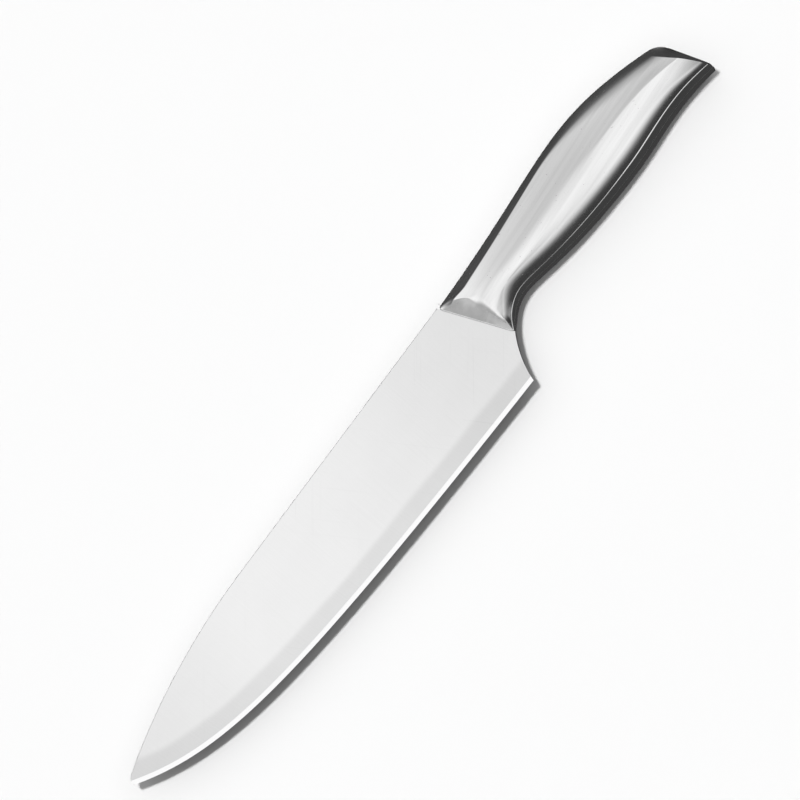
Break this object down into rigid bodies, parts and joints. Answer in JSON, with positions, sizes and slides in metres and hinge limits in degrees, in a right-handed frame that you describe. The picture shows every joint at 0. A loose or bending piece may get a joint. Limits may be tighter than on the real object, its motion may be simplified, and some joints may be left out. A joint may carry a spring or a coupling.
{
  "type": "chef knife",
  "caption": "Kitchen chef's knife with a wide curved blade, a concave choil and a hollow ridged handle, for slicing and chopping food",
  "frame": {"origin": "Under the middle of the knife as it lies on its right side: the middle of its length and width, at the height of its lowest point", "axes": "+X runs along the knife to the tip, +Y across the blade to the cutting edge, and +Z out of the left side of the knife"},
  "size_m": [0.3312, 0.0488, 0.0206],
  "materials": {
    "blade_steel": "stainless steel with a fine satin grind, a duller ground band and a bright edge bevel",
    "handle_steel": "stainless steel, polished with a fine satin grain along the handle",
    "weld_steel": "stainless weld metal, ground flush and polished"
  },
  "bodies": {
    "root": {"blade": "blade_steel", "handle_shell_left": "handle_steel", "handle_shell_right": "handle_steel", "seam_weld": "weld_steel", "neck_weld_left": "weld_steel", "neck_weld_right": "weld_steel"}
  },
  "joints": []
}
